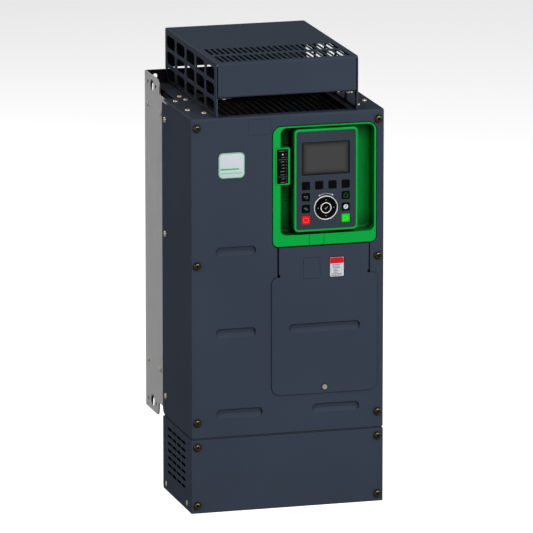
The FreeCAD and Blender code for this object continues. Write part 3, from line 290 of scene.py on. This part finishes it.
BLACK = (9, 9, 10)
# Each finish lightens its edges by its edge gain as a painted highlight, and where a reach is given,
# paints shade into recesses within that reach.
FINISHES = {
    "cover_paint": dict(
        colour=(54, 63, 77), rough=(0.55, 0.68), shine=0.1, edge_highlight=1.35, painted_shade=SHADE_REACH, closed=(0.4, 0.9)
    ),
    # The wall plate: near black, a dark sheet standing for the shade behind and under the hood.
    "black_sheet": dict(colour=(20, 20, 22), spread=0.1, edge_highlight=1.4, painted_shade=SHADE_REACH, closed=(0.45, 0.95)),
    "keypad_face": dict(colour=(51, 59, 70), grain=1600.0, rough=(0.5, 0.6), shine=0.1, edge_highlight=1.1),
    "black_plastic": dict(
        colour=BLACK, spread=0.15, rough=(0.45, 0.6), shine=0.04, edge_highlight=1.5, painted_shade=12 * MM
    ),
    "key_black": dict(
        colour=(6, 6, 6), spread=0.12, grain=1500.0, rough=(0.5, 0.62), shine=0.04, edge_highlight=1.6
    ),
    "key_red": dict(
        colour=(250, 12, 14), spread=0.04, grain=1500.0, rough=(0.5, 0.6), shine=0.06, edge_highlight=1.1
    ),
    "key_green": dict(
        colour=(8, 222, 12), spread=0.04, grain=1500.0, rough=(0.5, 0.6), shine=0.06, edge_highlight=1.1
    ),
    "white_plastic": dict(colour=(253, 253, 253), spread=0.01, rough=(0.3, 0.4), edge_highlight=1.0),
    "led_lens": dict(colour=(62, 64, 66), spread=0.08, rough=(0.15, 0.25), shine=0.4, edge_highlight=1.3),
    "brass": dict(colour=(205, 190, 150), spread=0.08, rough=(0.25, 0.4), metal=0.85, edge_highlight=1.2),
    # Screws: painted shade in the cross recess, and a strong painted highlight on the rim.
    "screw_bronze": dict(
        colour=(84, 77, 54),
        spread=0.14,
        patch=300.0,
        rough=(0.18, 0.3),
        metal=0.9,
        edge_highlight=1.9,
        painted_shade=5 * MM,
        closed=(0.45, 0.95),
    ),
    "rivet_metal": dict(
        colour=(222, 214, 188), spread=0.06, patch=250.0, rough=(0.28, 0.4), metal=0.55, edge_highlight=1.15
    ),
    "zinc_knob": dict(
        colour=(172, 168, 146), spread=0.06, patch=250.0, rough=(0.35, 0.45), metal=0.4, edge_highlight=1.1
    ),
    "label_white": dict(colour=(208, 214, 221), spread=0.015, rough=(0.3, 0.38), edge_highlight=1.05),
    "aluminium": dict(
        colour=(190, 192, 194), spread=0.06, rough=(0.3, 0.42), metal=0.9, painted_shade=SHADE_REACH
    ),
    "circuit_board": dict(
        colour=(18, 84, 44), spread=0.2, patch=120.0, rough=(0.25, 0.4), painted_shade=SHADE_REACH
    ),
    "copper": dict(
        colour=(200, 128, 92), spread=0.12, patch=60.0, rough=(0.25, 0.42), metal=0.95, painted_shade=SHADE_REACH
    ),
    "capacitor_sleeve": dict(colour=(24, 30, 52), spread=0.1, rough=(0.18, 0.3), painted_shade=SHADE_REACH),
    "terminal_plastic": dict(colour=(52, 128, 74), spread=0.08, rough=(0.4, 0.55), painted_shade=SHADE_REACH),
    "laminated_core": dict(
        colour=(88, 78, 70), spread=0.2, patch=40.0, rough=(0.4, 0.6), metal=0.3, painted_shade=SHADE_REACH
    ),
}
looks = {name: surface(name, **finish) for name, finish in FINISHES.items()}
looks["galvanised_steel"] = galvanised("galvanised_steel", (205, 205, 205))
# The second colour is the painted shade tone of the green recess around the keypad.
looks["green_plastic"] = shaded_plastic("green_plastic", (2, 169, 66), (2, 46, 14))
looks["display_glass"] = screen("display_glass", "display_window")


def ink(name, colour, spread=0.04):
    """Print: flat and even, with a little wear in its tone."""
    return surface("ink_" + name, colour, spread=spread, depth=0.0, shine=0.1, edge_highlight=1.0)


ink_white = ink("white", (214, 216, 220))
ink_grey = ink("grey", (122, 124, 128))
ink_slate = ink("slate", (66, 68, 74))
ink_pale = ink("pale", (172, 174, 178))
ink_forest = ink("forest", (20, 96, 34))
ink_mint = ink("mint", (128, 236, 132))
ink_rose = ink("rose", (250, 116, 116))
ink_leaf = ink("leaf", (24, 190, 104))
ink_aqua = ink("aqua", (140, 214, 190))
ink_red = ink("red", (216, 22, 36))
ink_black = ink("black", BLACK, 0.1)

for part in frame["record"]["subparts"]:
    for material_slot in frame["nodes"][part["node"]].material_slots:
        material_slot.material = looks[part["material_slot"]].material
for material_slot in frame["nodes"]["access_cover_screw"].material_slots:
    material_slot.material = looks["zinc_knob"].material


# --- mesh building ---
# Every outline is a list of (x, z) points, and y is the depth behind the front. Profiles, and the
# points of marks around their centre, are in millimetres.
def ring_at(outline, y):
    return [Vector((x, y, z)) for x, z in outline]


def rounded(centre, width, height, radius, steps=5):
    """A rectangle with round corners, anticlockwise seen from the front."""
    points = []
    reach_x, reach_z = width / 2 - radius, height / 2 - radius
    for quarter, (side_x, side_z) in enumerate(((1, 1), (-1, 1), (-1, -1), (1, -1))):
        for step in range(steps + 1):
            turn = math.radians(90 * (quarter + step / steps))
            x = centre[0] + side_x * reach_x + radius * math.cos(turn)
            z = centre[1] + side_z * reach_z + radius * math.sin(turn)
            points.append((x, z))
    return points


def circle(centre, radius, steps=72):
    turns = [2 * math.pi * step / steps for step in range(steps)]
    return [(centre[0] + radius * math.cos(t), centre[1] + radius * math.sin(t)) for t in turns]


def loft(mesh, rings, index=0, closed=False):
    """Skin rings of equal length in order. Ends are capped, or the last ring joins the first."""
    made = [[mesh.verts.new(point) for point in ring] for ring in rings]
    count = len(made)
    for i in range(count if closed else count - 1):
        here, there = made[i], made[(i + 1) % count]
        for j in range(len(here)):
            k = (j + 1) % len(here)
            mesh.faces.new((here[j], here[k], there[k], there[j])).material_index = index
    if not closed:
        mesh.faces.new(made[0]).material_index = index
        mesh.faces.new(made[-1]).material_index = index


def tile(mesh, outline, front, index):
    """A flat printed shape, a hair proud of the face at y = front and let into it."""
    loft(mesh, [ring_at(outline, front - INK), ring_at(outline, front + SINK)], index)


def stroke(mesh, points, width, front, index, closed=False):
    """A printed line along points, mitred at its corners."""
    path = [Vector(point) for point in points]
    count = len(path)
    rings = []
    for i, here in enumerate(path):
        came = (here - path[i - 1]).normalized() if closed or i else None
        goes = (path[(i + 1) % count] - here).normalized() if closed or i < count - 1 else None
        came, goes = came or goes, goes or came
        along = (came + goes).normalized()
        across = Vector((-along.y, along.x)) * (width / 2 / max(along.dot(came), 0.3))
        left, right = here + across, here - across
        near, far = front - INK, front + SINK
        rings.append(
            [
                Vector((left.x, near, left.y)),
                Vector((right.x, near, right.y)),
                Vector((right.x, far, right.y)),
                Vector((left.x, far, left.y)),
            ]
        )
    loft(mesh, rings, index, closed)


def piece(name, body, finishes, build, replaced=()):
    """Make one piece from a function that fills a bmesh, and set it on its CAD body."""
    mesh = bmesh.new()
    build(mesh)
    bmesh.ops.recalc_face_normals(mesh, faces=mesh.faces)
    data = bpy.data.meshes.new(name)
    mesh.to_mesh(data)
    mesh.free()
    for finish in finishes:
        data.materials.append(finish.material)
    for face in data.polygons:
        face.use_smooth = True
    data.set_sharp_from_angle(angle=SMOOTH_BELOW)
    made = bpy.data.objects.new(name, data)
    bpy.context.scene.collection.objects.link(made)
    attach(made, body)
    if replaced:
        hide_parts(*replaced)
    return made


def middle(node):
    """A node seen from the front: its centre (x, z), its size (width, height), and its front y."""
    low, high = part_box(node)
    centre = ((low.x + high.x) / 2, (low.z + high.z) / 2)
    return centre, (high.x - low.x, high.z - low.z), low.y


# --- keys ---
KEY_FLANGE = 1.0 * MM
KEY_CORNER = 2.0 * MM
KEY_TIGHTEST = 0.5 * MM
KEY_DISH = 0.14 * MM
KEY_PROFILE = (
    # inset from the cap's side, depth behind its front
    (-1.0, 3.9),
    (-1.0, 3.0),
    (0.0, 3.0),
    (0.0, 0.85),
    (0.08, 0.5),
    (0.3, 0.22),
    (0.65, 0.06),
    (1.1, 0.0),
    (2.6, 0.12),
    (4.6, 0.2),
    (5.6, 0.22),
)


def key_body(mesh, node):
    """A soft square cap with rolled edges and a shallow dish, on its retaining flange."""
    centre, size, front = middle(node)
    width, height = size[0] - 2 * KEY_FLANGE, size[1] - 2 * KEY_FLANGE
    rings = []
    for inset, depth in KEY_PROFILE:
        inset *= MM
        corner = max(KEY_CORNER - inset, KEY_TIGHTEST)
        outline = rounded(centre, width - 2 * inset, height - 2 * inset, corner)
        rings.append(ring_at(outline, front + depth * MM))
    loft(mesh, rings)
    return centre, front + KEY_DISH


def spots(centre, *points):
    """Points given in millimetres from a centre."""
    return [(centre[0] + x * MM, centre[1] + z * MM) for x, z in points]


def stop_mark(mesh, centre, front):
    """A square with soft corners."""
    stroke(mesh, rounded(centre, 8.0 * MM, 6.8 * MM, 1.6 * MM, 3), MARK_LINE, front, 1, True)


def run_mark(mesh, centre, front):
    """A triangle that points right, with softened corners."""
    corners = ((-3.0, 3.4), (-3.4, 3.0), (-3.4, -3.0), (-3.0, -3.4), (-2.2, -3.3))
    corners += ((3.6, -0.5), (3.6, 0.5), (-2.2, 3.3))
    stroke(mesh, spots(centre, *corners), MARK_LINE, front, 1, True)


def home_mark(mesh, centre, front):
    """The outline of a house."""
    outline = spots(centre, (-3.2, -3.2), (3.2, -3.2), (3.2, 0.6), (0, 3.8), (-3.2, 0.6))
    stroke(mesh, outline, HOUSE_LINE, front, 1, True)


def info_mark(mesh, centre, front):
    """A pale disc with a slanted bar and a dot."""
    tile(mesh, circle(centre, 3.9 * MM, 32), front, 1)
    tile(mesh, spots(centre, (-1.0, -2.2), (0.1, -2.2), (0.8, 0.9), (-0.3, 0.9)), front - INK, 2)
    tile(mesh, circle(spots(centre, (0.75, 2.2))[0], 0.65 * MM, 12), front - INK, 2)


def back_mark(mesh, centre, front):
    """A plain arrow that turns back to the left."""
    bend = spots(centre, (-2.8, 1.2), (2.6, 1.2), (2.6, -1.8), (-0.6, -1.8))
    stroke(mesh, bend, FINE_LINE, front, 1)
    tile(mesh, spots(centre, (-4.2, 1.2), (-2.2, -0.3), (-2.2, 2.7)), front, 1)


def swap_mark(mesh, centre, front):
    """Two bars, one above the other, offset to either side."""
    stroke(mesh, spots(centre, (-3.6, 1.1), (1.6, 1.1)), BOLD_LINE, front, 1)
    stroke(mesh, spots(centre, (-1.6, -1.3), (3.6, -1.3)), BOLD_LINE, front, 1)


KEYS = {
    "function_key_1": ("key_black", None, ()),
    "function_key_2": ("key_black", None, ()),
    "function_key_3": ("key_black", None, ()),
    "function_key_4": ("key_black", None, ()),
    "escape_key": ("key_black", back_mark, (ink_grey,)),
    "local_remote_key": ("key_black", swap_mark, (ink_grey,)),
    "stop_key": ("key_red", stop_mark, (ink_rose,)),
    "home_key": ("key_black", home_mark, (ink_forest,)),
    "info_key": ("key_black", info_mark, (ink_white, ink_black)),
    "run_key": ("key_green", run_mark, (ink_mint,)),
}


def make_key(node):
    finish, mark, inks = KEYS[node]

    def build(mesh):
        centre, front = key_body(mesh, node)
        if mark:
            mark(mesh, centre, front)

    piece(node + "_cap", node, (looks[finish], *inks), build, (node,))


# --- navigation wheel ---
def turned(mesh, centre, profile, front, index=0, closed=False):
    """A turned shape from (radius, depth) pairs in millimetres."""
    rings = [ring_at(circle(centre, radius * MM), front + depth * MM) for radius, depth in profile]
    loft(mesh, rings, index, closed)


WHEEL_PROFILE = (
    # radius, depth behind the front
    (17.45, 3.7),
    (17.45, 0.9),
    (17.3, 0.4),
    (16.9, 0.1),
    (16.2, 0.0),
    (15.2, 0.12),
    (13.2, 0.42),
    (11.2, 0.42),
    (9.7, 0.2),
    (9.0, 0.1),
    (7.3, 0.1),
    (7.3, 3.7),
)
WHEEL_DISH = 0.42 * MM
WHEEL_RING = ((8.85, 0.6), (8.85, 0.05), (8.7, -0.05), (7.8, -0.05), (7.65, 0.05), (7.65, 0.6))
# distance from the wheel's centre, length, half width
WHEEL_ARROW = (12.4, 1.7, 1.1)


def build_wheel(mesh):
    """A dished jog wheel with a pale inner ring and four direction marks."""
    centre, _, front = middle("nav_wheel")
    turned(mesh, centre, WHEEL_PROFILE, front, 0, True)
    turned(mesh, centre, WHEEL_RING, front, 1, True)
    radius, length, half_width = (value * MM for value in WHEEL_ARROW)
    for turn in (0, 90, 180, 270):
        out = Vector((math.cos(math.radians(turn)), math.sin(math.radians(turn))))
        side = Vector((-out.y, out.x)) * half_width
        foot = Vector(centre) + out * radius
        tile(mesh, [foot + side, foot - side, foot + out * length], front + WHEEL_DISH, 2)


OK_PROFILE = ((7.1, 4.0), (7.1, 0.9), (6.95, 0.5), (6.5, 0.22), (5.2, 0.08), (3.2, 0.02), (1.2, 0.0))
OK_TICK = ((-2.6, 0.0), (-0.8, -1.9), (2.8, 2.0))
OK_DISH = 0.05 * MM


def build_ok(mesh):
    """A low domed button with a plain tick."""
    centre, _, front = middle("ok_button")
    turned(mesh, centre, OK_PROFILE, front)
    stroke(mesh, spots(centre, *OK_TICK), BOLD_LINE, front + OK_DISH, 1)


# millimetres from the clip's edge to the ring, and across the ring
TRIM_CLIP = 1.5
TRIM_WIDTH = 1.15


def build_trim(mesh):
    """The pale ring round the wheel: a flat front with eased edges, and a clip behind the face."""
    centre, size, front = middle("wheel_trim")
    clip = size[0] / 2 / MM
    outer = clip - TRIM_CLIP
    inner = outer - TRIM_WIDTH
    profile = ((clip, 3.9), (clip, 3.0), (outer, 3.0))
    profile += ((outer, 0.3), (outer - 0.1, 0.08), (outer - 0.3, 0.0))
    profile += ((inner + 0.3, 0.0), (inner + 0.1, 0.08), (inner, 0.3), (inner, 3.9))
    turned(mesh, centre, profile, front, 0, True)


# --- keypad face ---
ARC_RADIUS = 23.2
ARC_SPREAD = 25
ARC_STEPS = 12
ARC_LINE = 0.5 * MM
# length, half width
ARC_HEAD = (3.2, 1.5)


def build_arc(mesh):
    """A double-headed arc printed above the wheel, to show that it turns."""
    centre, _, _ = middle("nav_wheel")
    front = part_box("keypad_face")[0].y
    path = []
    for step in range(ARC_STEPS + 1):
        turn = math.radians(90 - ARC_SPREAD + 2 * ARC_SPREAD * step / ARC_STEPS)
        path.append((ARC_RADIUS * math.cos(turn), ARC_RADIUS * math.sin(turn)))
    stroke(mesh, spots(centre, *path), ARC_LINE, front, 0)
    length, half_width = ARC_HEAD
    for side in (-1, 1):
        turn = math.radians(90 - side * ARC_SPREAD)
        out = Vector((math.cos(turn), math.sin(turn)))
        along = Vector((side * out.y, -side * out.x))
        foot = out * ARC_RADIUS
        head = (foot + out * half_width, foot - out * half_width, foot + along * length)
        tile(mesh, spots(centre, *[tuple(point) for point in head]), front, 0)


DISPLAY_FLANGE = 2.0 * MM
DISPLAY_PROFILE = (
    # inset from the surround's side, depth behind its front
    (-2.0, 2.7),
    (-2.0, 1.8),
    (0.0, 1.8),
    (0.0, 0.0),
    (0.5, 0.0),
    (1.2, 0.9),
)
DISPLAY_CORNER = 1.4
PANE_INSET = 1.2 * MM
PANE_CORNER = 0.4
PANE_DEPTH = (0.85 * MM, 1.2 * MM)


def build_display(mesh):
    """The display: a chamfered black surround stepping down to a recessed pane."""
    centre, size, front = middle("display_window")
    width, height = size[0] - 2 * DISPLAY_FLANGE, size[1] - 2 * DISPLAY_FLANGE
    rings = []
    for inset, depth in DISPLAY_PROFILE:
        corner = max(DISPLAY_CORNER - inset, PANE_CORNER) * MM
        outline = rounded(centre, width - 2 * inset * MM, height - 2 * inset * MM, corner)
        rings.append(ring_at(outline, front + depth * MM))
    loft(mesh, rings, 1)
    pane = rounded(centre, width - 2 * PANE_INSET, height - 2 * PANE_INSET, PANE_CORNER * MM)
    loft(mesh, [ring_at(pane, front + depth) for depth in PANE_DEPTH], 0)


# --- indicator panel ---
MARK_LENGTHS = (9.4, 4.4, 4.6, 6.4, 4.0, 4.0, 6.8, 6.2, 4.2, 6.2)
MARK_RIGHT = 12.6 * MM
TRIANGLE_ROW = 1
TRIANGLE = ((-4.6, -1.4), (-1.0, -1.4), (-2.8, 1.7))
RULE_INSET = 1.5 * MM
RULE_LINE = 0.4 * MM
LAMP_GROUPS = (3, 5, 2)
LAMP_RADIUS = 1.0 * MM
LAMP_STEP = 5.3 * MM
LAMP_GAP = 6.9 * MM


def build_indicator_marks(mesh):
    """Small plain bars beside the status lamps, a triangle, and two rules between the groups."""
    low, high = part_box("indicator_panel")
    front = low.y
    lamps_low, lamps_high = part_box("status_leds")
    rows = lamp_rows(lamps_high.z, lamps_low.z)
    right = low.x + MARK_RIGHT
    for i, (z, length) in enumerate(zip(rows, MARK_LENGTHS)):
        if i == TRIANGLE_ROW:
            tile(mesh, spots((right, z), *TRIANGLE), front, 0)
            continue
        stroke(mesh, spots((right, z), (-length, 0), (0, 0)), ROW_LINE, front, 1)
    first, second, _ = LAMP_GROUPS
    for below in (first, first + second):
        z = (rows[below - 1] + rows[below]) / 2
        stroke(mesh, [(low.x + RULE_INSET, z), (high.x - RULE_INSET, z)], RULE_LINE, front, 1)


def lamp_rows(top, bottom):
    """The heights of the ten lamps, which stand in groups of three, five and two."""
    rows = [top - LAMP_RADIUS]
    for count in LAMP_GROUPS:
        for _ in range(count - 1):
            rows.append(rows[-1] - LAMP_STEP)
        rows.append(rows[-1] - LAMP_GAP)
    assert abs(rows[-2] - LAMP_RADIUS - bottom) < MM
    return rows[:-1]


# --- labels ---
BADGE_CORNER = 7.5 * MM
BADGE_CROWN = 0.5 * MM
# inset, corner, line width
BADGE_BORDER = (1.9 * MM, 6.6 * MM, 0.9 * MM)
BADGE_BAR_INSET = 3.0 * MM
BADGE_BAR_WIDTH = 2.2 * MM
BADGE_BARS = (
    # drop below the middle, length, ink
    (5.6 * MM, 31.0 * MM, 1),
    (12.0 * MM, 36.0 * MM, 2),
)
LABEL_CORNER = 2.0 * MM
LABEL_CROWN = 0.1 * MM
# the band and rows of the label, in millimetres; each row is shortened by its own amount
LABEL_MARGIN = 0.25
LABEL_BAND = 9.6
LABEL_CUT = (2, 0.6)
LABEL_ROWS = (4.0, 5.6, 4.6, 9.0, 7.6, 8.4, 2.0, 1.2, 3.0)
LABEL_ROW_STEP = 2.5
LABEL_FIRST_ROW = 2.2
LABEL_SIDE = 1.6


def label_body(mesh, node, corner, crown, index=0):
    """A thin plate with a rolled edge and a slightly crowned face."""
    centre, size, front = middle(node)
    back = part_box(node)[1].y
    rings = []
    for inset, depth in ((0.0, back - front), (0.0, crown), (0.25 * MM, crown * 0.3), (0.8 * MM, 0.0)):
        outline = rounded(centre, size[0] - 2 * inset, size[1] - 2 * inset, corner - inset)
        rings.append(ring_at(outline, front + depth))
    loft(mesh, rings, index)
    return centre, size, front


def build_badge(mesh):
    """A white tile with a green border and two plain bars."""
    centre, size, front = label_body(mesh, "badge", BADGE_CORNER, BADGE_CROWN)
    inset, corner, line = BADGE_BORDER
    stroke(mesh, rounded(centre, size[0] - inset, size[1] - inset, corner, 8), line, front, 1, True)
    left = centre[0] + BADGE_BAR_INSET - size[0] / 2
    for drop, length, finish in BADGE_BARS:
        z = centre[1] - drop
        stroke(mesh, [(left, z), (left + length, z)], BADGE_BAR_WIDTH, front, finish)


def build_info_label(mesh):
    """A two-colour label: a red band across the top, and plain grey rows below it."""
    centre, size, front = label_body(mesh, "info_label", LABEL_CORNER, LABEL_CROWN)
    half_x, half_z = (length / 2 / MM - LABEL_MARGIN for length in size)
    band = half_z - LABEL_BAND
    cut, ease = LABEL_CUT
    right = ((half_x, band), (half_x, half_z - cut))
    right += ((half_x - ease, half_z - ease), (half_x - cut, half_z))
    left = tuple((-x, z) for x, z in reversed(right))
    tile(mesh, spots(centre, *right, *left), front, 1)
    reach = half_x - LABEL_SIDE
    for row, inset in enumerate(LABEL_ROWS):
        z = band - LABEL_FIRST_ROW - row * LABEL_ROW_STEP
        stroke(mesh, spots(centre, (inset / 2 - reach, z), (reach - inset, z)), ROW_LINE, front, 2)


for key_node in KEYS:
    make_key(key_node)
wheel_looks = (looks["key_black"], looks["white_plastic"], ink_pale)
piece("nav_wheel_dished", "nav_wheel", wheel_looks, build_wheel, ("nav_wheel",))
ok_looks = (looks["key_black"], ink_pale)
piece("ok_button_cap", "ok_button", ok_looks, build_ok, ("ok_button",))
trim_looks = (looks["white_plastic"],)
piece("wheel_trim_ring", "keypad", trim_looks, build_trim, ("wheel_trim",))
piece("turning_arc", "keypad", (ink_white,), build_arc)
display_looks = (looks["display_glass"], looks["black_plastic"])
piece("display", "keypad", display_looks, build_display, ("display_window",))
piece("indicator_marks", "chassis", (ink_white, ink_grey), build_indicator_marks)
badge_looks = (looks["label_white"], ink_leaf, ink_aqua)
piece("badge_plate", "chassis", badge_looks, build_badge, ("badge",))
label_looks = (looks["label_white"], ink_red, ink_slate)
piece("info_label_print", "access_cover", label_looks, build_info_label, ("info_label",))


# --- floor, light and camera ---
def around(azimuth, elevation, distance):
    """The offset to a place seen from the object: 0 degrees is the front and 90 the right-hand side."""
    turn, lift = math.radians(azimuth), math.radians(elevation)
    level = math.cos(lift)
    return Vector((math.sin(turn) * level, -math.cos(turn) * level, math.sin(lift))) * distance


def aim(thing, target):
    thing.rotation_mode = "QUATERNION"
    thing.rotation_quaternion = (target - thing.location).to_track_quat("-Z", "Y")


def add_floor():
    look = surface("floor", FLOOR_TONE, spread=0.01, patch=0.6, grain=60.0, rough=(0.7, 0.85), depth=0.0)
    seen = look.node("ShaderNodeLightPath").outputs["Is Camera Ray"]
    look.set(Base_Color=look.mix(seen, tint(*FLOOR_SEEN), look.body))
    look.set(Emission_Color=(1, 1, 1, 1))
    look.set(Emission_Strength=look.remap(seen, 0.0, 1.0, 0.0, FLOOR_GLOW))
    data = bpy.data.meshes.new("floor")
    level = cad_low.z - FLOOR_DROP
    turns = ((-1, -1), (1, -1), (1, 1), (-1, 1))
    corners = [(x * FLOOR_REACH, y * FLOOR_REACH, level) for x, y in turns]
    data.from_pydata(corners, [], [(0, 1, 2, 3)])
    data.materials.append(look.material)
    floor = bpy.data.objects.new("floor", data)
    bpy.context.scene.collection.objects.link(floor)


def add_lights():
    centre = (cad_low + cad_high) / 2
    for name, azimuth, elevation, distance, size, power in SOFTBOXES:
        light = bpy.data.lights.new(name, "AREA")
        light.size = size
        light.energy = power
        lamp = bpy.data.objects.new(name, light)
        lamp.location = centre + around(azimuth, elevation, distance)
        aim(lamp, centre)
        bpy.context.scene.collection.objects.link(lamp)


def add_room():
    """Soft grey light from all round, and plain white where the camera sees past the floor."""
    world = bpy.data.worlds.new("room")
    world.use_nodes = True
    nodes, links = world.node_tree.nodes, world.node_tree.links
    seen = nodes.new("ShaderNodeLightPath").outputs["Is Camera Ray"]
    strength = nodes.new("ShaderNodeMapRange")
    strength.inputs[3].default_value = ROOM_LIGHT
    strength.inputs[4].default_value = 1.0
    links.new(seen, strength.inputs["Value"])
    background = nodes["Background"]
    background.inputs["Color"].default_value = (1, 1, 1, 1)
    links.new(strength.outputs["Result"], background.inputs["Strength"])
    bpy.context.scene.world = world


def add_camera():
    data = bpy.data.cameras.new("camera")
    data.lens = CAMERA_LENS
    data.clip_end = 4 * CAMERA_DISTANCE
    camera = bpy.data.objects.new("camera", data)
    pivot = Vector((0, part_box("front_cover")[0].y, CAMERA_PIVOT_Z))
    camera.location = pivot + around(CAMERA_AZIMUTH, CAMERA_ELEVATION, CAMERA_DISTANCE)
    aim(camera, CAMERA_AIM)
    bpy.context.scene.collection.objects.link(camera)
    bpy.context.scene.camera = camera


add_floor()
add_lights()
add_room()
add_camera()
bpy.context.scene.view_settings.view_transform = "Standard"
